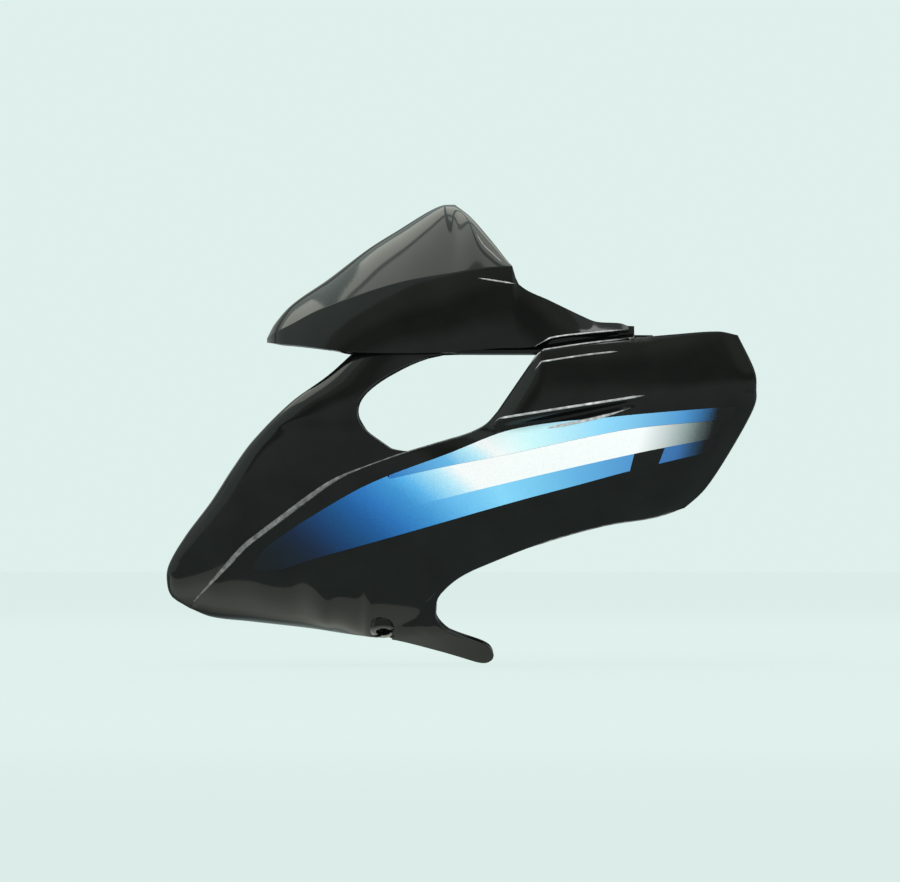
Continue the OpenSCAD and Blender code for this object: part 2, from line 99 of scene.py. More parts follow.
# The lines of the left half, each point as [half width, y, z]; the crown and section lines
# hold [factor, y], and window_front, the step, roll and stripe lines use only y and z
LINES = {
    "front_line": [[0, -185, 38], [0, -196.8, 45.5], [0, -200.5, 56], [0, -199.3, 67.5],
        [8, -188, 87], [17, -170, 111], [25, -155, 134], [31, -141, 153], [40, -115, 179],
        [47, -90, 197], [52, -71, 214]],
    "crest_line": [[0, -185, 38], [13, -172, 52], [23, -160, 65], [34, -146, 80], [43, -132, 91],
        [51, -116, 103], [58, -102, 113.5], [65, -85, 125], [71, -66, 134], [78, -42, 143],
        [87, -9, 153], [91, 7, 158], [94, 18, 164], [96, 26, 173]],
    "window_side": [[96, 26, 173], [99, 48, 205], [100, 55, 214]],
    "top_edge": [[100, 55, 214], [103, 85, 218.5], [105, 112, 221.5], [106, 144, 224.5],
        [106, 175, 226.5], [104, 188, 224]],
    "rear_edge": [[108, 152, 107], [111, 166, 120], [114, 182, 144], [113, 198.5, 174],
        [112, 200.5, 188], [110, 199, 201], [104, 188, 224]],
    "keel_line": [[0, -185, 38], [0, -170, 32], [0, -143, 28.8], [0, -101, 24], [0, -85, 21.5]],
    "arch_line": [[0, -85, 21.5], [25, -76, 20.5], [42, -63, 19]],
    "leg_root": [[42, -63, 19], [56, -42, 27], [70, -20, 36]],
    "lower_edge": [[70, -20, 36], [73, -15, 46], [79, -1, 59], [88, 22, 70], [97, 57, 83.5],
        [104, 98, 95], [107, 131, 100.5], [108, 152, 107]],
    "leg_lower": [[42, -63, 19], [50, -43, 16.5], [55, -13, 9], [57, 9, 2.5], [57.5, 17, 0]],
    "leg_upper": [[70, -20, 36], [69, -17, 26.5], [66, -3, 20], [62, 18, 13], [60, 25, 5]],
    "window_front": [[0, -42, 143], [0, -46, 146], [0, -56, 153], [0, -66, 161], [0, -70.5, 171],
        [0, -69, 180], [0, -62, 188.5], [0, -48, 198], [0, -24, 209], [0, 0, 214]],
    "crown_line": [[0, -185], [0.05, -150], [0.15, -100], [0.5, -50], [0.8, 0], [0.95, 60],
        [1, 120], [0.62, 165], [0, 188]],
    "section_line": [[0.7, -185], [0.42, -168], [0.3, -145], [0.24, -115], [0.2, -85], [0.75, -63],
        [1, -35], [1, 188]],
    "step_foot": [[0, 26, 159.5], [0, 77, 170], [0, 128, 181]],
    "roll_line": [[0, 52, 159.5], [0, 77, 164.5], [0, 97, 169], [0, 118, 175.5]],
    "step_top": [[0, 26, 167], [0, 77, 175], [0, 128, 183]],
    "cowl_low": [[0, -132, 219.5], [17, -127, 219], [31, -115, 218], [46, -98, 216],
        [63, -74, 213], [78, -41.5, 212], [90, -9, 212.5], [98.5, 24, 215], [103.5, 49, 216],
        [104.5, 55, 219], [105, 62, 222.5], [106, 85, 225.5], [107, 114, 228]],
    "cowl_crease": [[0, -132, 222.5], [13, -127, 226], [24, -115, 232], [35, -98, 241],
        [47, -74, 250], [60, -41.5, 260], [71, -9, 265.5], [79, 18, 270], [83, 35.5, 271]],
    "cowl_corner": [[83, 35.5, 271], [86, 39.5, 259], [92, 62, 247]],
    "arm_top": [[92, 62, 247], [98.5, 87, 235], [100.5, 93, 233], [102, 109, 232], [103, 114, 230]],
    "ridge_line": [[0, -132, 222.5], [0, -127, 232], [0, -115, 245.5], [0, -90, 263],
        [0, -63, 283.5], [0, -41.5, 297], [0, -22, 309], [0, -12, 313.5], [0, -3.5, 314]],
    "rear_line": [[0, -3.5, 314], [26, 7.5, 305], [52, 22, 288], [73, 32, 275], [83, 35.5, 271]],
    "stripe_0": [[0, -143, 63.5], [0, -122, 65], [0, -100, 72], [0, -41.5, 88.5], [0, 36, 111],
        [0, 79, 122.5], [0, 116, 132.5], [0, 166, 144.5]],
    "stripe_1": [[0, -143, 64], [0, -128, 70], [0, -109, 80], [0, -75, 93], [0, -41.5, 105],
        [0, 36, 125], [0, 119, 144], [0, 170, 154]],
    "stripe_2": [[0, -56, 125], [0, -7, 135.5], [0, 36, 144], [0, 79, 153.5], [0, 119, 161],
        [0, 176, 166.5]],
    "stripe_3": [[0, -143, 64.5], [0, -134, 78], [0, -120, 88.5], [0, -105, 98.5], [0, -63, 122.5],
        [0, -7, 144], [0, 36, 160], [0, 107, 169], [0, 176, 175]],
}
LINES = {name: np.array(points, float) for name, points in LINES.items()}

# The stripes, then for each its lower line, its upper line and where it begins and ends
STRIPES = ["upper_stripe", "middle_stripe", "lower_stripe", "rear_block"]
UPPER_START = -48
STRIPE_SPANS = [("stripe_2", "stripe_3", UPPER_START, 175),
                ("stripe_1", "stripe_3", -142, 170),
                ("stripe_0", "stripe_1", -142, 123.7),
                ("stripe_0", "stripe_1", 141, 172)]


# Smooth curves through the points of a line
def slope(p, i, c):
    a, b = max(i - 1, 0), min(i + 1, len(p) - 1)
    return (p[b] - p[a]) / (p[b][c] - p[a][c])


def hermite(a, b, ma, mb, u):
    return ((2 * u**3 - 3 * u**2 + 1) * a + (u**3 - 2 * u**2 + u) * ma
            + (3 * u**2 - 2 * u**3) * b + (u**3 - u**2) * mb)


def at(line, c, w):
    """The point of a line where its coordinate c is w."""
    p = LINES[line]
    i = 0
    while i < len(p) - 2 and w >= p[i + 1][c]:
        i += 1
    d = p[i + 1][c] - p[i][c]
    return hermite(p[i], p[i + 1], slope(p, i, c) * d, slope(p, i + 1, c) * d, (w - p[i][c]) / d)


def along(line, s):
    """The point at a share of a line, each of its segments counted alike."""
    p = LINES[line]
    n = len(p) - 1
    i = min(int(math.floor(s * n)), n - 1)
    ma = (p[min(i + 1, n)] - p[max(i - 1, 0)]) / 2
    mb = (p[min(i + 2, n)] - p[i]) / 2
    return hermite(p[i], p[i + 1], ma, mb, s * n - i)


def smooth(u):
    """Ease from 0 to 1."""
    w = min(max(u, 0.0), 1.0)
    return w * w * (3 - 2 * w)


def run(a, b, n):
    """Even steps from a to b, both of them included."""
    return [a + (b - a) * i / n for i in range(n + 1)]


# The headlight mask
REAR_TOP = LINES["top_edge"][-1]
REAR_FOOT = LINES["lower_edge"][-1]


def upper(y):
    """The panel's upper edge at a station."""
    if y <= CREST_END:
        return at("crest_line", 1, y)
    if y <= CORNER:
        return at("window_side", 1, y)
    return at("top_edge", 1, y)


def lower(y):
    """The panel's lower edge at a station, closer set behind the corner to end at the rear edge."""
    if y <= KEEL_END:
        return at("keel_line", 1, y)
    if y <= ARCH_END:
        return at("arch_line", 1, y)
    if y <= NOTCH:
        return at("leg_root", 1, y)
    if y > CORNER:
        y = CORNER + (y - CORNER) * (REAR_FOOT[1] - CORNER) / (REAR_TOP[1] - CORNER)
    return at("lower_edge", 1, y)


def height_at(y):
    return upper(y)[2] - lower(y)[2]


def wedge(y, z):
    """How far the panel stands out over the step, less the groove along the step's foot."""
    w = min(max(y, CREST_END), STEP_END)
    foot, top = at("step_foot", 1, w)[2], at("step_top", 1, w)[2]
    ahead = smooth((y - STEP_RISE) / (CREST_END - STEP_RISE))
    share = smooth((STEP_END - y) / (STEP_END - CREST_END)) * ahead
    u = (z - foot) / (top - foot)
    groove = -GROOVE * smooth((z - foot + GROOVE_BELOW) / GROOVE_RUN)
    groove *= smooth((GROOVE_TOP - u) / GROOVE_TOP) * smooth((GROOVE_END - y) / GROOVE_FADE)
    return share * STEP * smooth(u) + smooth((y - GROOVE_START) / GROOVE_RISE) * groove


def panel_place(y, v):
    """A point of the panel before its crown and step, at a share of its height."""
    a, b = lower(y), upper(y)
    k = at("section_line", 1, y)[0]
    p = a + (b - a) * np.array([max(v, 0.0) ** k, v, v])
    s = smooth((y - TWIST_START) / (REAR_TOP[1] - TWIST_START))
    if s > 0:
        rear = along("rear_edge", min(max(v, 0.0), 1.0))
        p = p + s * (rear - REAR_FOOT - (REAR_TOP - REAR_FOOT) * v)
    return p


def panel_point(y, v):
    p = panel_place(y, v)
    crown = CROWN * at("crown_line", 1, y)[0] * 4 * v * (1 - v)
    return p + np.array([crown + wedge(p[1], p[2]), 0, 0])


def share_of(line, y):
    """The share of the panel's height at which a line crosses a station, found in ten steps."""
    v, height = 0.5, height_at(y)
    for _ in range(10):
        p = panel_place(y, v)
        v += (at(line, 1, p[1])[2] - p[2]) / height
    return v


def row_shares(y):
    """Shares for the panel's rows: at both edges, and closer together over the groove and step."""
    first_row, last_row, below_step = 0.008, 0.985, 8
    w = min(max(y, CREST_END), ROWS_END)
    foot, top = share_of("step_foot", w), share_of("step_top", w)
    below = foot - below_step / height_at(w)
    return ([0] + run(first_row, below, 26)[:-1] + run(below, foot, 10)[:-1]
            + run(foot, top, 12)[:-1] + run(top, last_row, 14) + [1])


def front(z):
    """The front edge of the frame at a height; below the opening it meets the other half."""
    p = at("front_line", 2, z)
    return np.array([0 if z <= OPENING_FOOT else p[0], p[1], z])


def bezel_point(y, f):
    """A point of the frame, from its front edge at 0 to the panel's edge at 1."""
    c = panel_point(y, 1)
    if f >= 1:
        return c
    a = front(c[2])
    x = a[0] + (c[0] - a[0]) * f**BEZEL_WIDTH
    return np.array([x, a[1] + (c[1] - a[1]) * f**BEZEL_DEPTH, c[2]])


def window_share(y):
    """How far the frame reaches back to the window at a station."""
    if y <= PILLAR:
        return 1.0
    c = panel_point(y, 1)
    a, w = front(c[2]), at("window_front", 2, c[2])
    return min((w[1] - a[1]) / (c[1] - a[1]), 1) ** (1 / BEZEL_DEPTH)


# Stations for the grids
FINE = 4
chin_ys = run(PROW, KEEL_END, 11 * FINE)
arch_ys = run(KEEL_END, ARCH_END, 2 * FINE)
root_ys = run(ARCH_END, NOTCH, 4 * FINE)
foot_ys = run(NOTCH, CREST_END, 5 * FINE)
side_ys = run(CREST_END, CORNER, 4 * FINE)
lap_ys = run(CORNER, LAP_END, 6 * FINE)
rear_ys = run(LAP_END, REAR, 8 * FINE)
panel_ys = (chin_ys + arch_ys[1:] + root_ys[1:] + foot_ys[1:] + side_ys[1:] + lap_ys[1:]
            + rear_ys[1:])

# Shares across the frame, the last ones close together for a crisp edge
SPREAD = run(0, 0.96, 28) + [0.988, 1]


def turned(g):
    return [list(r) for r in zip(*g)]


def panel_grid(ys):
    return turned([[panel_point(y, v) for v in row_shares(y)] for y in ys])


def bezel_row(y, last):
    return [bezel_point(y, last * t) for t in SPREAD]


def flange_height(y):
    """The flange stands full up to the corner and falls to its tail behind it."""
    return FLANGE + (FLANGE_TAIL - FLANGE) * (max(y, CORNER) - CORNER) / (LAP_END - CORNER)


def lap_grid(row):
    """The flange over a row of edge points: first inward, then up."""
    thirds = (0, 0.33, 0.66, 1)
    g = [[p + np.array([-INSET * a, 0, LAP_LIFT * a]) for p in row] for a in thirds]
    for t in thirds[1:]:
        g.append([p + np.array([-INSET, 0, LAP_LIFT + (flange_height(p[1]) - LAP_LIFT) * t])
                  for p in row])
    return g


top_share = window_share(CORNER)
over_pillar = bezel_row(CORNER, top_share)
over_window = [bezel_point(CORNER, f) for f in run(top_share, 1, 5 * FINE)]
over_panel = [panel_point(y, 1) for y in lap_ys]


def bar_point(s, p):
    """A point of the bar over the headlight, from the flange's end at 0 to the middle at 1."""
    turn = math.pi / 2 * s
    x = 0 if s == 1 else p[0] * math.cos(turn)
    return np.array([x, p[1] - BAR_LEAD * math.sin(turn), p[2]])


bar_grid = [[bar_point(s, r[0]) for s in run(1, 0, 24)] for r in lap_grid([over_pillar[0]])]


def leg_point(s, q):
    """A point of the leg, s along it and q across; it leaves the root's curve towards its tip."""
    a, b = along("leg_lower", s), along("leg_upper", s)
    ra, rb = LINES["leg_root"][0], LINES["leg_root"][-1]
    root = panel_point(ra[1] + (rb[1] - ra[1]) * q, 0) - ra - (rb - ra) * q
    return a + (b - a) * q + root * (1 - s)


leg_grid = [[leg_point(s, q) for q in run(0, 1, 4 * FINE)] for s in run(1, 0, 7 * FINE)]

low_ys = chin_ys + arch_ys[1:] + [y for y in root_ys[1:] if y <= PILLAR]
closed_ys = [y for y in low_ys if upper(y)[2] <= OPENING_FOOT]
open_ys = [closed_ys[-1]] + [y for y in low_ys if upper(y)[2] > OPENING_FOOT]
pillar_ys = [y for y in root_ys if y >= PILLAR] + foot_ys[1:] + side_ys[1:]

mask_grids = [
    panel_grid(panel_ys),
    [bezel_row(y, 1) for y in closed_ys],
    [bezel_row(y, 1) for y in open_ys],
    [bezel_row(y, window_share(y)) for y in pillar_ys],
    lap_grid(over_pillar),
    lap_grid(over_window),
    lap_grid(over_panel),
    bar_grid,
    leg_grid,
]

# The upper cowl
tip_ys = run(COWL_TIP, PEAK, 60)
back_ys = run(PEAK, COWL_CORNER, 18)
arm_ys = run(COWL_CORNER, ARM_END, 36)


def cowl_edge(y):
    """The crease between the cowl's side and its top, and then the arm's upper edge."""
    if y <= COWL_CORNER:
        return at("cowl_crease", 1, y)
    if y <= ARM_START:
        return at("cowl_corner", 1, y)
    return at("arm_top", 1, y)


def cowl_side_point(y, v):
    a, b = at("cowl_low", 1, y), cowl_edge(y)
    p = a + (b - a) * v
    tall = min(1, (b[2] - a[2]) / BULGE_HEIGHT)
    bulge = COWL_BULGE * smooth((y - COWL_TIP) / BULGE_RUN) * tall ** 2
    return p + np.array([bulge * 4 * v * (1 - v), 0, 0])


def cowl_top_point(y, v):
    a = cowl_edge(y)
    b = at("ridge_line", 1, y) if y <= PEAK else at("rear_line", 1, y)
    z = a[2] + (b[2] - a[2]) * (1 - (1 - v) ** ROOF_CURVE)
    return np.array([a[0] + (b[0] - a[0]) * v, y, z])


def cowl_grid(point, ys, n):
    """Rows of a face of the cowl, close together at its two edges."""
    return [[point(y, v) for y in ys] for v in [0, 0.012] + run(0.04, 0.96, n) + [0.988, 1]]


cowl_grids = [cowl_grid(cowl_side_point, tip_ys + back_ys[1:] + arm_ys[1:], 16),
              cowl_grid(cowl_top_point, tip_ys + back_ys[1:], 24)]


# Stripe films
def stripe_grid(k):
    """The stripe's place on the panel; the middle one ends just under the upper one."""
    low_line, top_line, begin, end = STRIPE_SPANS[k]
    column_step, fewest, rows = 1.6, 12, 14
    columns = []
    for y in run(begin, end, max(fewest, int((end - begin) / column_step))):
        if STRIPES[k] == "middle_stripe" and y > UPPER_START:
            top = share_of("stripe_2", y) - FILM_GAP / height_at(y)
        else:
            top = share_of(top_line, y)
        columns.append([panel_point(y, v) for v in run(share_of(low_line, y), top, rows)])
    return turned(columns)


# Meshes
WELD = 0.02
CUT_DEPTH = 8
CHAMFER = 0.5
SHARP_ANGLE = 50


def placed(side, p):
    """A point of the left half in metres, on the left side (1) or the right (-1)."""
    return (p[0] * side * MM, p[1] * MM, p[2] * MM)


def linked(name, data):
    """A new object in the scene."""
    piece = bpy.data.objects.new(name, data)
    bpy.context.scene.collection.objects.link(piece)
    return piece


def soften(bm, corners):
    """Round the open edge near some points, each with its reach, in both halves."""
    rounds, pull, core = 50, 0.5, 1.3
    for x, y, z, reach in corners:
        for side in (1, -1):
            c = np.array([side * x, y, z]) * MM
            near = [v for v in bm.verts
                    if (v.co.x - c[0])**2 + (v.co.y - c[1])**2 + (v.co.z - c[2])**2 < (reach * MM)**2]
            for _ in range(rounds):
                moved = []
                for v in near:
                    edges = [e for e in v.link_edges if e.is_boundary] if v.is_boundary else v.link_edges
                    middle = sum((e.other_vert(v).co for e in edges), Vector()) / len(edges)
                    w = pull * smooth(core * (1 - (v.co - Vector(c)).length / (reach * MM)))
                    moved.append(v.co.lerp(middle, w))
                for v, co in zip(near, moved):
                    v.co = co


def both_halves(grids):
    """The points and faces of grids in both halves, with their outer side outward."""
    verts, faces = [], []
    for side in (1, -1):
        for g in grids:
            n, m, base = len(g), len(g[0]), len(verts)
            verts += [placed(side, p) for r in g for p in r]
            for i in range(n - 1):
                for j in range(m - 1):
                    a = base + i * m + j
                    q = (a, a + 1, a + 1 + m, a + m)
                    faces.append(q if side > 0 else q[::-1])
    return verts, faces


def cut_bore(bm, centre, axis, radius):
    """Take the faces near a bore's axis away, in both halves."""
    for f in list(bm.faces):
        for side in (1, -1):
            d = np.array(f.calc_center_median()) / MM - centre * [side, 1, 1]
            ax = axis * [side, 1, 1]
            depth = float(d @ ax)
            if abs(depth) < CUT_DEPTH and np.linalg.norm(d - ax * depth) < radius:
                bm.faces.remove(f)
                break


def shell(name, grids, thickness=0, cut=None, corners=()):
    """Grids of both halves welded into one piece, with a wall inside them if it has a thickness."""
    verts, faces = both_halves(grids)
    mesh = bpy.data.meshes.new(name)
    mesh.from_pydata(verts, [], faces)
    bm = bmesh.new()
    bm.from_mesh(mesh)
    bmesh.ops.remove_doubles(bm, verts=bm.verts, dist=WELD * MM)
    bmesh.ops.dissolve_degenerate(bm, edges=bm.edges, dist=0.5 * WELD * MM)
    if cut:
        cut_bore(bm, *cut)
    soften(bm, corners)
    bm.normal_update()
    bm.to_mesh(mesh)
    bm.free()
    piece = linked(name, mesh)
    if thickness:
        mod = piece.modifiers.new("wall", "SOLIDIFY")
        mod.thickness, mod.offset = thickness * MM, -1
        mod.use_rim = True
    return piece


def bevelled(piece, width, angle):
    """Chamfer the edges that are sharper than an angle in degrees."""
    mod = piece.modifiers.new("rounding", "BEVEL")
    mod.width, mod.segments = width * MM, 2
    mod.limit_method, mod.angle_limit = "ANGLE", math.radians(angle)
    for p in piece.data.polygons:
        p.use_smooth = True
    return piece


def tube(path, radii, sides=12):
    """Grid of a round bead along a path of points, in millimetres."""
    across = [1, 0, 0.2]
    rings = []
    for i, p in enumerate(path):
        t = path[min(i + 1, len(path) - 1)] - path[max(i - 1, 0)]
        t /= np.linalg.norm(t)
        u = np.cross(t, across)
        u /= np.linalg.norm(u)
        w = np.cross(t, u)
        rings.append([p + radii[i] * (math.cos(a) * u + math.sin(a) * w)
                      for a in run(0, 2 * math.pi, sides)])
    return rings


def solid_of(name, build):
    """A piece whose mesh a function fills in."""
    mesh = bpy.data.meshes.new(name)
    bm = bmesh.new()
    build(bm)
    bm.normal_update()
    bm.to_mesh(mesh)
    bm.free()
    return linked(name, mesh)


def ring_mesh(bm, place, inner, outer, low, high, sides=48):
    """A washer-like ring between two radii and two heights, placed by a function of (x, y, z)."""
    profile = [(inner, low), (inner, high), (outer - CHAMFER, high), (outer, high - CHAMFER),
               (outer, low)]
    angles = [2 * math.pi * i / sides for i in range(sides)]
    loops = [[bm.verts.new(place(r * math.cos(a), r * math.sin(a), h)) for a in angles]
             for r, h in profile]
    for a, b in zip(loops, loops[1:] + loops[:1]):
        for i in range(sides):
            j = (i + 1) % sides
            bm.faces.new((a[i], b[i], b[j], a[j]))


def box_mesh(bm, lo, hi):
    places = [(x, y, z) for x in (lo[0], hi[0]) for y in (lo[1], hi[1]) for z in (lo[2], hi[2])]
    v = [bm.verts.new((x * MM, y * MM, z * MM)) for x, y, z in places]
    for f in ((0, 1, 3, 2), (4, 6, 7, 5), (0, 4, 5, 1), (2, 3, 7, 6), (0, 2, 6, 4), (1, 5, 7, 3)):
        bm.faces.new([v[i] for i in f])


def shade_smooth(bm):
    """Smooth faces, with the sharp edges left crisp."""
    for f in bm.faces:
        f.smooth = True
    for e in bm.edges:
        if len(e.link_faces) == 2 and e.calc_face_angle(0) > math.radians(SHARP_ANGLE):
            e.smooth = False


def joined(name, parts, looks):
    """One piece out of several, modifiers applied, with the materials it uses."""
    graph = bpy.context.evaluated_depsgraph_get()
    bm = bmesh.new()
    for o in parts:
        bm.from_mesh(o.evaluated_get(graph).to_mesh())
    mesh = bpy.data.meshes.new(name)
    shade_smooth(bm)
    bm.to_mesh(mesh)
    bm.free()
    for o in parts:
        bpy.data.objects.remove(o)
    for look in looks:
        mesh.materials.append(look)
    return linked(name, mesh)


# Materials
def material(name):
    m = bpy.data.materials.new(name)
    m.use_nodes = True
    nodes, links = m.node_tree.nodes, m.node_tree.links
    return m, nodes, links, nodes["Principled BSDF"]


def node(nodes, kind, **values):
    n = nodes.new(kind)
    for k, v in values.items():
        if k in n.inputs:
            n.inputs[k].default_value = v
        else:
            setattr(n, k, v)
    return n


def own_place(nodes):
    """The piece's own coordinates, in metres."""
    return nodes.new("ShaderNodeTexCoord").outputs["Object"]


def split(nodes, place):
    """The outputs X, Y and Z of a place."""
    parts = nodes.new("ShaderNodeSeparateXYZ")
    parts.id_data.links.new(place, parts.inputs["Vector"])
    return parts.outputs


def noise(nodes, place, scale, detail):
    n = node(nodes, "ShaderNodeTexNoise", Scale=scale, Detail=detail)
    n.id_data.links.new(place, n.inputs["Vector"])
    return n.outputs["Fac"]


def ramp(nodes, factor, stops):
    """Colours over a factor, each stop a place from 0 to 1 and its colour."""
    n = nodes.new("ShaderNodeValToRGB")
    e = n.color_ramp.elements
    while len(e) > 1:
        e.remove(e[-1])
    e[0].position, e[0].color = stops[0][0], (*stops[0][1], 1)
    for pos, col in stops[1:]:
        s = e.new(pos)
        s.color = (*col, 1)
    n.id_data.links.new(factor, n.inputs["Fac"])
    return n.outputs["Color"]


def ranged(nodes, value, start=0, end=1, first=0, last=1):
    """A value from start to end, turned into one from first to last."""
    n = nodes.new("ShaderNodeMapRange")
    for name, number in (("From Min", start), ("From Max", end), ("To Min", first), ("To Max", last)):
        n.inputs[name].default_value = number
    n.id_data.links.new(value, n.inputs["Value"])
    return n.outputs["Result"]


def math_node(nodes, operation, *values):
    """Output of a Math node, each input a number or another node's output."""
    n = nodes.new("ShaderNodeMath")
    n.operation = operation
    for socket, value in zip(n.inputs, values):
        if isinstance(value, (int, float)):
            socket.default_value = value
        else:
            n.id_data.links.new(value, socket)
    return n.outputs["Value"]


def roughen(nodes, bsdf, height, strength, distance):
    """Lead a height into the shader's normal."""
    bump = node(nodes, "ShaderNodeBump", Strength=strength, Distance=distance)
    bump.id_data.links.new(height, bump.inputs["Height"])
    bump.id_data.links.new(bump.outputs["Normal"], bsdf.inputs["Normal"])


def clear_gloss(bsdf):
    """The mirror level of the lacquer and of the films' clear coat."""
    gloss = {"IOR": 1.5, "Specular IOR Level": 0.25, "Coat Weight": 0.1, "Coat Roughness": 0.04}
    for name, value in gloss.items():
        bsdf.inputs[name].default_value = value


def as_light(v):
    """One channel of a seen colour, 0 to 255, as linear light."""
    v = v / 255
    return v / 12.92 if v <= 0.04045 else ((v + 0.055) / 1.055) ** 2.4


def srgb(r, g, b):
    return tuple(as_light(v) for v in (r, g, b))


def printed(colour):
    """Paint that looks like a seen colour once the lacquer's reflection is added."""
    return tuple(min(max((c - 0.02) / 0.92, 0.006), 1.0) for c in srgb(*colour))


def lacquer(name):
    """Black gloss lacquer: a slight cloud in its black, faint polish marks and orange peel."""
    m, nodes, links, bsdf = material(name)
    clear_gloss(bsdf)
    place = own_place(nodes)
    tint = noise(nodes, place, 38.0, 4.0)
    black = ramp(nodes, tint, [(0.3, (0.0032, 0.0036, 0.0034)), (0.7, (0.0062, 0.007, 0.0066))])
    links.new(black, bsdf.inputs["Base Color"])
    stretch = nodes.new("ShaderNodeMapping")
    stretch.inputs["Scale"].default_value = (1, 0.12, 0.6)
    links.new(place, stretch.inputs["Vector"])
    marks = noise(nodes, stretch.outputs["Vector"], 900.0, 3.0)
    links.new(ranged(nodes, marks, first=0.06, last=0.105), bsdf.inputs["Roughness"])
    peel = noise(nodes, place, 420.0, 2.0)
    wave = noise(nodes, place, 26.0, 1.0)
    roughen(nodes, bsdf, math_node(nodes, "MULTIPLY_ADD", peel, 0.05, wave), 0.12, 0.0009)
    return m


def painted_highlight_edge(name, level):
    """Painted highlight: a dull grey, uneven along its length, for the light that a moulded edge catches.
    """
    m, nodes, links, bsdf = material(name)
    patchiness = noise(nodes, own_place(nodes), 240.0, 5.0)
    greys = [(place, (grey * level,) * 3) for place, grey in ((0.3, 0.07), (0.55, 0.17), (0.75, 0.3))]
    links.new(ramp(nodes, patchiness, greys), bsdf.inputs["Base Color"])
    bsdf.inputs["Roughness"].default_value = 0.35
    roughen(nodes, bsdf, patchiness, 0.3, 0.0004)
    return m


def zinc_steel(name):
    """Zinc-plated steel with a fine grain."""
    m, nodes, links, bsdf = material(name)
    bsdf.inputs["Metallic"].default_value = 1.0
    grain = noise(nodes, own_place(nodes), 1500.0, 3.0)
    greys = ramp(nodes, grain, [(0.35, (0.42, 0.43, 0.45)), (0.65, (0.62, 0.63, 0.66))])
    links.new(greys, bsdf.inputs["Base Color"])
    links.new(ranged(nodes, grain, first=0.25, last=0.45), bsdf.inputs["Roughness"])
    return m


# The films' fades lean back in front of y = 0 and forward at the rear, about a rising middle line
FADE_MIDDLE = 118
FADE_RISE = 0.28
FADE_LEAN = 0.9
REAR_LEAN = -0.3
REAR_FADE = 120
FLAKE_SPREAD = 12

# Sockets of a Mix node that mixes colours
MIX_FACTOR, MIX_A, MIX_B, MIX_RESULT = 0, 6, 7, 2


def film(name, stops):
    """Printed film: colours along the part, in fine metallic flakes under a clear coat.
    Each stop is a place along the part in mm, and the colour seen there."""
    m, nodes, links, bsdf = material(name)
    clear_gloss(bsdf)
    bsdf.inputs["Roughness"].default_value = 0.12
    place = own_place(nodes)
    flakes = noise(nodes, place, 1500.0, 2.0)
    parts = split(nodes, place)
    middle = math_node(nodes, "MULTIPLY_ADD", parts["Y"], FADE_RISE, FADE_MIDDLE * MM)
    over = math_node(nodes, "SUBTRACT", parts["Z"], middle)
    lean = ranged(nodes, parts["Y"], end=REAR_FADE * MM, first=FADE_LEAN, last=REAR_LEAN)
    slant = math_node(nodes, "MULTIPLY_ADD", over, lean, parts["Y"])
    wobble = math_node(nodes, "MULTIPLY_ADD", flakes, FLAKE_SPREAD * MM, slant)
    begin, end = stops[0][0], stops[-1][0]
    share = ranged(nodes, wobble, (begin + FLAKE_SPREAD / 2) * MM, (end + FLAKE_SPREAD / 2) * MM)
    print_stops = [((at_mm - begin) / (end - begin), printed(c)) for at_mm, c in stops]
    colours = ramp(nodes, share, print_stops)
    sparkle = ramp(nodes, flakes, [(0.3, (0.86, 0.87, 0.88)), (0.7, (1.0, 1.0, 1.0))])
    shade = nodes.new("ShaderNodeMix")
    shade.data_type, shade.blend_type = "RGBA", "MULTIPLY"
    shade.inputs[MIX_FACTOR].default_value = 1.0
    links.new(colours, shade.inputs[MIX_A])
    links.new(sparkle, shade.inputs[MIX_B])
    links.new(shade.outputs[MIX_RESULT], bsdf.inputs["Base Color"])
    roughen(nodes, bsdf, flakes, 0.05, 0.0003)
    return m


# Leg pads and tabs: PAD is where the axis of the left pad's bore meets the mask's surface
PAD = np.array([49.2083, -52.25, 23.4792])
PAD_AXIS = np.array([0.5, 0, -math.sqrt(0.75)])
PAD_BORE = 5
PAD_RADIUS = 9
PAD_LOW = -6.8
PAD_HIGH = 1.2
PAD_CUT = 6.9
TAB_WIDTH = 16
TAB_LENGTH = 16
TAB_THICK = 3
TAB_BORE = 4
TAB_RING = 8
TAB_BEHIND = 5
TAB_RAISE = 2
TAB = over_panel[-1] + np.array([-INSET - TAB_WIDTH, TAB_BEHIND - TAB_LENGTH, TAB_RAISE - TAB_THICK])


def pad_place(side):
    """Places on a pad: x and y across its bore, z along it."""
    across = np.array([-PAD_AXIS[2], 0, PAD_AXIS[0]])
    lengthways = np.array([0, 1, 0])
    return lambda x, y, z: placed(side, PAD + across * x + lengthways * y + PAD_AXIS * z)


def tab_place(side):
    """Places on a tab, from the foot of its bore."""
    return lambda x, y, z: placed(side, TAB + np.array([TAB_RING + x, TAB_LENGTH + y, z]))


def tab_boxes():
    """The tab's plate, the strips beside its ring and the web that holds it, each low and high."""
    x0, y0, z0 = TAB
    x1, z1 = x0 + TAB_WIDTH, z0 + TAB_THICK
    strip, plate_end, strip_start, web_height = 3.2, 11.9, 11, 7
    return [((x0, y0, z0), (x1, y0 + plate_end, z1)),
            ((x0, y0 + strip_start, z0), (x0 + strip, y0 + TAB_LENGTH, z1)),
            ((x1 - strip, y0 + strip_start, z0), (x1, y0 + TAB_LENGTH, z1)),
            ((x1 - WALL, y0, z0), (x1, y0 + strip_start, z0 + web_height))]


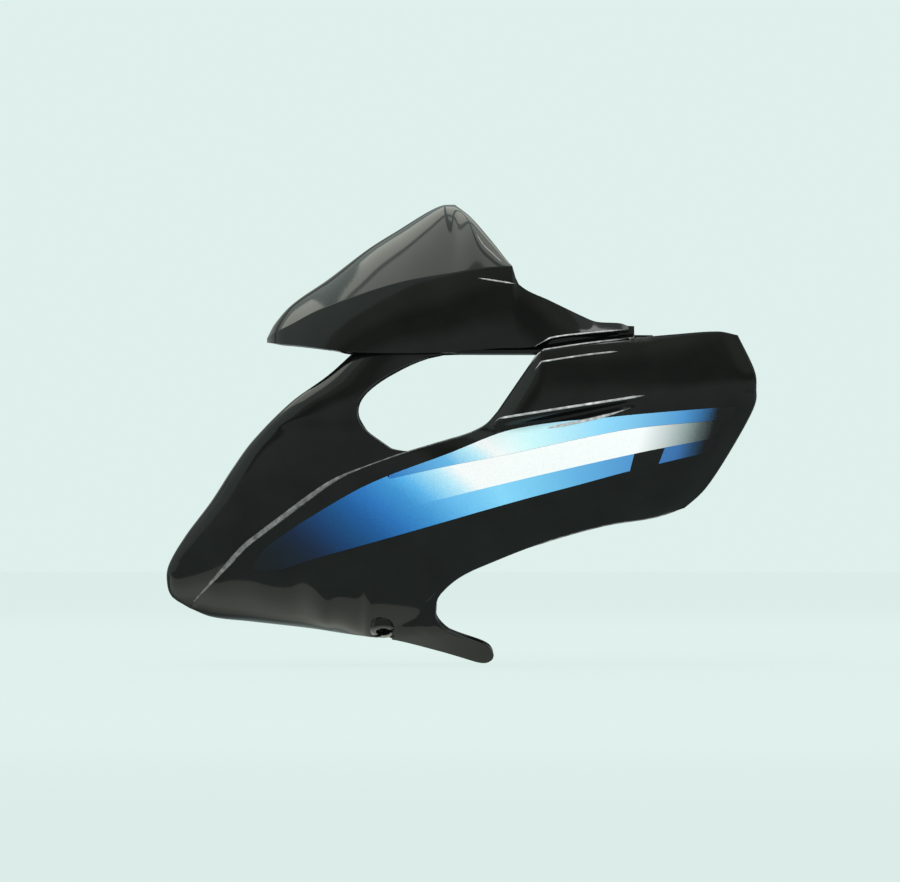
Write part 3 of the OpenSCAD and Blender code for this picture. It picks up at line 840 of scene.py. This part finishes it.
def fittings(bm):
    """Both leg pads' rings and both tabs."""
    for side in (1, -1):
        ring_mesh(bm, pad_place(side), PAD_BORE, PAD_RADIUS, PAD_LOW, PAD_HIGH)
        ring_mesh(bm, tab_place(side), TAB_BORE, TAB_RING, 0, TAB_THICK)
        for lo, hi in tab_boxes():
            if side < 0:
                lo, hi = (-hi[0], lo[1], lo[2]), (-lo[0], hi[1], hi[2])
            box_mesh(bm, lo, hi)
    bmesh.ops.recalc_face_normals(bm, faces=bm.faces)


# Beads along the moulded edges, painted grey as the highlights the edges catch: the crest's radii and ends,
# then the cowl's and the lip's
BEAD_TIP = 0.03
CHIN_BEAD = 1.4
CHIN_START = -183
CHIN_END = -62
CREST_BEAD = 0.42
BEAD_START = -184
BEAD_END = 24
HIGHLIGHT_LINE_TOP = 263
HIGHLIGHT_LINE_FALL = 0.16
LIP_DROP = 8


def line_bead(path, radius, fade=8):
    """A thin bead along a moulded edge, thinner towards its ends."""
    n = len(path) - 1
    radii = [radius * smooth(i / fade) * smooth((n - i) / fade) + BEAD_TIP for i in range(n + 1)]
    return tube(path, radii, 8)


def crest_point(y):
    """A point of the crest's bead, which lies a little forward on the chin."""
    return panel_point(y, 1) + np.array([-0.2, -1.0, 0.3]) * smooth((-50 - y) / 30)


def crest_radius(y):
    """Full on the chin, and thin from there on."""
    chin = CHIN_BEAD * smooth((y - CHIN_START) / 30) * smooth((CHIN_END - y) / 40)
    rest = CREST_BEAD * smooth((y - BEAD_START) / 6) * smooth((BEAD_END - y) / 12)
    return chin + rest + BEAD_TIP


def step_point(y):
    """A point of the step's upper edge."""
    return panel_point(y, share_of("step_top", min(max(y, CREST_END), STEP_END)) + 0.006)


def lip_point(y):
    """A point of the painted highlight line under the panel's top edge."""
    return panel_point(y, 1 - LIP_DROP / height_at(y))


def crease_highlight_point(y):
    """A point of the painted highlight line on the cowl's side, a little under its crease."""
    foot, edge = at("cowl_low", 1, y)[2], cowl_edge(y)[2]
    return cowl_side_point(y, (HIGHLIGHT_LINE_TOP - HIGHLIGHT_LINE_FALL * (y - 12) - foot) / (edge - foot))


crest_ys = run(-181, 22, 130)
crest_bead = tube([crest_point(y) for y in crest_ys], [crest_radius(y) for y in crest_ys])
step_path = [step_point(y) for y in run(24, 124, 60)]
panel_edge = [panel_point(y, 1) for y in run(46, 53.5, 8)[:-1] + run(57, 112, 40)]
roll_path = [panel_point(y, share_of("roll_line", y)) for y in run(53, 117, 50)]
lip_path = [lip_point(y) for y in run(50.5, 107, 54)]
foot_path = [panel_point(y, 0) for y in run(45, 186, 90)]
arm_edge = [at("cowl_low", 1, y) + np.array([0.1, 0, -0.1]) for y in run(50, 112, 44)]
crease_end = [crease_highlight_point(y) for y in run(12, 38, 30)]


def bead_set(name, beads, slot):
    """Beads as one piece, in one of the materials of the moulding that takes them in."""
    piece = shell(name, beads)
    for polygon in piece.data.polygons:
        polygon.material_index = slot
    return piece


# The two mouldings; each corner of the mask is x, y, z and the reach of its rounding
MASK_CORNERS = [(70, -20, 36, 12), (68, -15, 25, 9), (57.5, 17, 0, 8), (60, 25, 5, 8),
                (78, -42, 143, 8)]
MASK_CHAMFER, MASK_ANGLE = 0.8, 38
COWL_CHAMFER, COWL_ANGLE = 0.7, 24


def make_mask(looks):
    """The mask's shell with its pads, tabs and beads."""
    wall = shell("mask_shell", mask_grids, WALL, (PAD, PAD_AXIS, PAD_CUT), MASK_CORNERS)
    # The crest and foot beads carry the grey painted highlight (slot 1); the step, panel edge, roll and lip
    # lines carry the bright one (slot 2).
    light = [line_bead(step_path, 0.8, 4), line_bead(panel_edge, 0.5), line_bead(roll_path, 1.1, 14),
             line_bead(lip_path, 0.6, 5)]
    return joined("mask", [
        bevelled(wall, MASK_CHAMFER, MASK_ANGLE),
        solid_of("mask_fittings", fittings),
        bead_set("edges", [crest_bead], slot=1),
        bead_set("foot_edges", [line_bead(foot_path, 0.4)], slot=1),
        bead_set("light_edges", light, slot=2),
    ], looks)


def make_cowl(looks):
    """The upper cowl's shell with the beads on its arms and sides."""
    wall = bevelled(shell("cowl_shell", cowl_grids, WALL), COWL_CHAMFER, COWL_ANGLE)
    # Both beads carry the bright painted highlight, slot 1: one along the arm's lower edge, one under the
    # crease.
    beads = [line_bead(arm_edge, 0.45), line_bead(crease_end, 0.5)]
    return joined("cowl", [wall, bead_set("cowl_edges", beads, slot=1)], looks)


black = lacquer("gloss_black")
# Painted highlights for the beads: a grey, and one three times as bright
rim = painted_highlight_edge("painted_highlight_edge", 1.0)
bright_rim = painted_highlight_edge("bright_painted_highlight", 3.0)
mask = make_mask([black, rim, bright_rim])
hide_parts("headlight_mask")

cowl = make_cowl([black, bright_rim])
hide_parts("upper_cowl")

# The films' colours along the part
DARK = (30, 32, 31)
FRONT_FADE = [(-158, DARK), (-140, (42, 47, 50)), (-122, (41, 50, 60)), (-110, (40, 54, 75)),
              (-102, (40, 61, 90)), (-91, (42, 71, 113)), (-80, (45, 83, 130)), (-66, (48, 97, 157)),
              (-50, (57, 120, 189)), (-31, (73, 150, 211))]
films = {
    "upper_stripe": film("upper_print", [
        # The near-white stops from 28 to 57 mm are partly painted highlight: the glint along the stripe's
        # top edge, spread over its height. The light blue around them is print.
        (-25, (62, 125, 195)), (13, (110, 184, 232)), (28, (190, 235, 248)), (36, (250, 254, 253)),
        (57, (208, 245, 250)), (95, (148, 214, 247)), (148, (86, 150, 205)), (161, (64, 110, 158)),
        (172, DARK)]),
    "middle_stripe": film("middle_print", FRONT_FADE + [
        (-20, (98, 180, 234)), (-11, (140, 206, 241)), (1, (188, 231, 252)), (12, (250, 252, 252)),
        (121, (250, 252, 251)), (150, (155, 168, 168)), (163, (87, 96, 97)), (172, DARK)]),
    "lower_stripe": film("lower_print", FRONT_FADE + [
        (-6, (113, 191, 240)), (22, (140, 213, 248)), (51, (124, 198, 238)), (81, (106, 176, 226)),
        (125, (87, 147, 204))]),
    "rear_block": film("block_print", [
        (141, (72, 120, 178)), (150, (70, 115, 172)), (161, (52, 76, 105)), (169, DARK)]),
}


def film_faces(n, m):
    """Faces of a closed film: its outer and inner side, then its long edges and its ends."""
    inner = n * m
    faces = []
    for i in range(n - 1):
        for j in range(m - 1):
            a = i * m + j
            faces += [(a, a + 1, a + 1 + m, a + m),
                      (a + inner, a + m + inner, a + 1 + m + inner, a + 1 + inner)]
    for j in range(m - 1):
        b = (n - 1) * m + j
        faces += [(j, j + inner, j + 1 + inner, j + 1), (b, b + 1, b + 1 + inner, b + inner)]
    for i in range(n - 1):
        a, b = i * m, i * m + m - 1
        faces += [(a, a + m, a + m + inner, a + inner), (b, b + inner, b + m + inner, b + m)]
    return faces


def film_piece(k, side):
    """A closed film over the panel, on one side of the part."""
    points = np.array(stripe_grid(k))
    normal = np.cross(np.gradient(points, axis=1), np.gradient(points, axis=0))
    normal /= np.maximum(np.linalg.norm(normal, axis=2, keepdims=True), 1e-9)
    verts = []
    for height in (GLUE + FILM, GLUE):
        verts += [placed(side, p) for row in points + normal * height for p in row]
    faces = film_faces(*points.shape[:2])
    if side < 0:
        faces = [f[::-1] for f in faces]
    name = STRIPES[k] + ("_left" if side > 0 else "_right")
    mesh = bpy.data.meshes.new("film_" + name)
    mesh.from_pydata(verts, [], faces)
    bm = bmesh.new()
    bm.from_mesh(mesh)
    shade_smooth(bm)
    bm.to_mesh(mesh)
    bm.free()
    mesh.materials.append(films[STRIPES[k]])
    piece = linked("film_" + name, mesh)
    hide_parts(name)
    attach(piece, "root")


for k in range(len(STRIPES)):
    for side in (1, -1):
        film_piece(k, side)

steel = zinc_steel("zinc_steel")
for k in ("front_screw", "rear_screw"):
    for side in ("left", "right"):
        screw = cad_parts[f"{k}_{side}"]
        screw.data.materials.clear()
        screw.data.materials.append(steel)
for piece in (mask, cowl):
    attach(piece, "root")

# Floor and room
MINT = srgb(223, 240, 236)
FLOOR_SIZE = 14
CLEARANCE = 0.0005


def pale_floor(name):
    """Paint in the room's colour, with most of its tone from its own glow."""
    m, nodes, links, bsdf = material(name)
    bsdf.inputs["Roughness"].default_value = 0.9
    bsdf.inputs["Specular IOR Level"].default_value = 0.0
    bsdf.inputs["Base Color"].default_value = (*[c * 0.95 for c in MINT], 1)
    glow = node(nodes, "ShaderNodeEmission", Strength=1.0, Color=(*MINT, 1))
    mix = node(nodes, "ShaderNodeMixShader", Fac=0.07)
    links.new(glow.outputs["Emission"], mix.inputs[1])
    links.new(bsdf.outputs["BSDF"], mix.inputs[2])
    links.new(mix.outputs["Shader"], nodes["Material Output"].inputs["Surface"])
    return m


def pale_room(name):
    """A room in the backdrop's colour for the camera and reflections, and dimmer as light."""
    world = bpy.data.worlds.new(name)
    world.use_nodes = True
    nodes, links = world.node_tree.nodes, world.node_tree.links
    nodes.clear()
    room = node(nodes, "ShaderNodeBackground", Strength=0.58, Color=(1.0, 1.0, 0.98, 1))
    back = node(nodes, "ShaderNodeBackground", Strength=1.0, Color=(*MINT, 1))
    ray = nodes.new("ShaderNodeLightPath").outputs
    seen = math_node(nodes, "ADD", ray["Is Camera Ray"], ray["Is Glossy Ray"])
    shown = math_node(nodes, "ADD", seen, ray["Is Transmission Ray"])
    shown.node.use_clamp = True
    pick = nodes.new("ShaderNodeMixShader")
    links.new(shown, pick.inputs["Fac"])
    links.new(room.outputs["Background"], pick.inputs[1])
    links.new(back.outputs["Background"], pick.inputs[2])
    out = nodes.new("ShaderNodeOutputWorld")
    links.new(pick.outputs["Shader"], out.inputs["Surface"])
    return world


bpy.ops.mesh.primitive_plane_add(size=FLOOR_SIZE, location=(0, 0, -CLEARANCE))
floor = bpy.context.object
floor.name = "floor"
floor.data.materials.append(pale_floor("pale_floor"))
bpy.context.scene.world = pale_room("room")

# Cards as a photographer sets them for black gloss: only reflections show them
CARD_AWAY = 0.42
CARD_TOP = 1.1
FAR_CARD_TOP = 0.5
CARD_HALF = 1.6
FLAP_EDGE = 0.085


def card_paint(name, axis, reach, stops):
    """Glow that changes along one axis, from 0 to its reach in metres."""
    paint, nodes, links, _ = material(name)
    parts = split(nodes, own_place(nodes))
    tones = ramp(nodes, ranged(nodes, parts[axis], end=reach), stops)
    dim = nodes.new("ShaderNodeEmission")
    links.new(tones, dim.inputs["Color"])
    links.new(dim.outputs["Emission"], nodes["Material Output"].inputs["Surface"])
    return paint


def card(name, paint, line):
    """A long card that follows a line of (x, z) across the stage."""
    mesh = bpy.data.meshes.new(name)
    corners = [(x, y, z) for x, z in line for y in (-CARD_HALF, CARD_HALF)]
    mesh.from_pydata(corners, [], [(2 * i, 2 * i + 1, 2 * i + 3, 2 * i + 2) for i in range(len(line) - 1)])
    mesh.materials.append(paint)
    piece = linked(name, mesh)
    piece.visible_camera = piece.visible_diffuse = piece.visible_shadow = piece.visible_transmission = False


cloth = card_paint("card_cloth", "Z", CARD_TOP, [
    (0.0, (0.38, 0.46, 0.44)), (0.34, (0.52, 0.57, 0.53)), (0.44, (0.2, 0.21, 0.19)),
    (0.56, (0.18, 0.19, 0.17)), (0.7, (0.42, 0.45, 0.4)), (1.0, (0.45, 0.48, 0.42))])
white = card_paint("card_white", "X", FLAP_EDGE, [
    (0.0, (0.5, 0.53, 0.47)), (0.28, (1.8, 1.92, 1.68)), (0.45, (1.8, 1.92, 1.68)),
    (0.75, (1.3, 1.4, 1.22)), (1.0, (1.1, 1.2, 1.05))])
card("near_card", cloth, [(FLAP_EDGE, CLEARANCE), (CARD_AWAY, CLEARANCE), (CARD_AWAY, CARD_TOP)])
card("far_card", cloth, [(0, CLEARANCE), (-CARD_AWAY, CLEARANCE), (-CARD_AWAY, FAR_CARD_TOP)])
card("white_card", white, [(0, CLEARANCE), (FLAP_EDGE, CLEARANCE)])

# Lamps: the overhead ones stand in rows (y, depth) and columns (x, width)
PART_MIDDLE = (0, 0, 0.16)
OVERHEAD_HEIGHT = 1.5
OVERHEAD_COLOUR = (1.0, 1.0, 0.86)
OVERHEAD_ROWS = ((-1.42, 0.75), (-0.6, 0.72), (0.24, 0.78))
OVERHEAD_COLUMNS = ((-0.4, 0.62), (-1.2, 0.8))
OVERHEAD_LEVELS = ((1.75, 1.45), (1.2, 1.6), (1.35, 1.5))


def lamp(name, place, size, energy, aim=PART_MIDDLE, size_y=None, glossy=True):
    """A rectangular lamp that the camera doesn't see, turned to a point."""
    data = bpy.data.lights.new(name, "AREA")
    data.shape = "RECTANGLE"
    data.size, data.size_y = size, size_y or size
    data.energy = energy
    o = linked(name, data)
    o.location = place
    o.rotation_mode = "QUATERNION"
    o.rotation_quaternion = (Vector(place) - Vector(aim)).to_track_quat("Z", "Y")
    o.visible_camera = False
    o.visible_glossy = glossy
    return o


lamp("key", (2.6, -0.4, 1.9), 1.2, 33, glossy=False)
for row, (y, depth) in enumerate(OVERHEAD_ROWS):
    for column, (x, width) in enumerate(OVERHEAD_COLUMNS):
        energy = OVERHEAD_LEVELS[row][column] * math.pi * width * depth
        panel = lamp(f"overhead_{row}_{column}", (x, y, OVERHEAD_HEIGHT), width, energy,
                     size_y=depth, aim=(x, y, 0))
        panel.data.color = OVERHEAD_COLOUR
strip = lamp("strip", (0.36, 0.0, 1.05), 0.03, 1.0, size_y=1.6)
strip.visible_diffuse = False
lamp("fill", (2.0, 1.8, 0.7), 1.0, 9, glossy=False)
lamp("back_fill", (-2.4, 0.4, 1.6), 1.2, 14, glossy=False)

# Camera at the photograph's place: level, from the left, far off
PIXEL = 0.68 * MM
PHOTO_WIDTH = 900
MIDDLE_COLUMN = 450
MIDDLE_ROW = 441
ORIGIN_COLUMN = 460
FLOOR_ROW = 665
DISTANCE = 10.0
NEAR_SIDE = 0.06
SENSOR = 36
camera = linked("camera", bpy.data.cameras.new("camera"))
bpy.context.scene.camera = camera
camera.data.sensor_width = SENSOR
camera.data.lens = SENSOR * (DISTANCE - NEAR_SIDE) / (PHOTO_WIDTH * PIXEL)
camera.data.clip_end = 100
camera.location = (DISTANCE, (MIDDLE_COLUMN - ORIGIN_COLUMN) * PIXEL, (FLOOR_ROW - MIDDLE_ROW) * PIXEL)
camera.rotation_euler = (math.pi / 2, 0, math.pi / 2)

bpy.context.scene.view_settings.view_transform = "Standard"
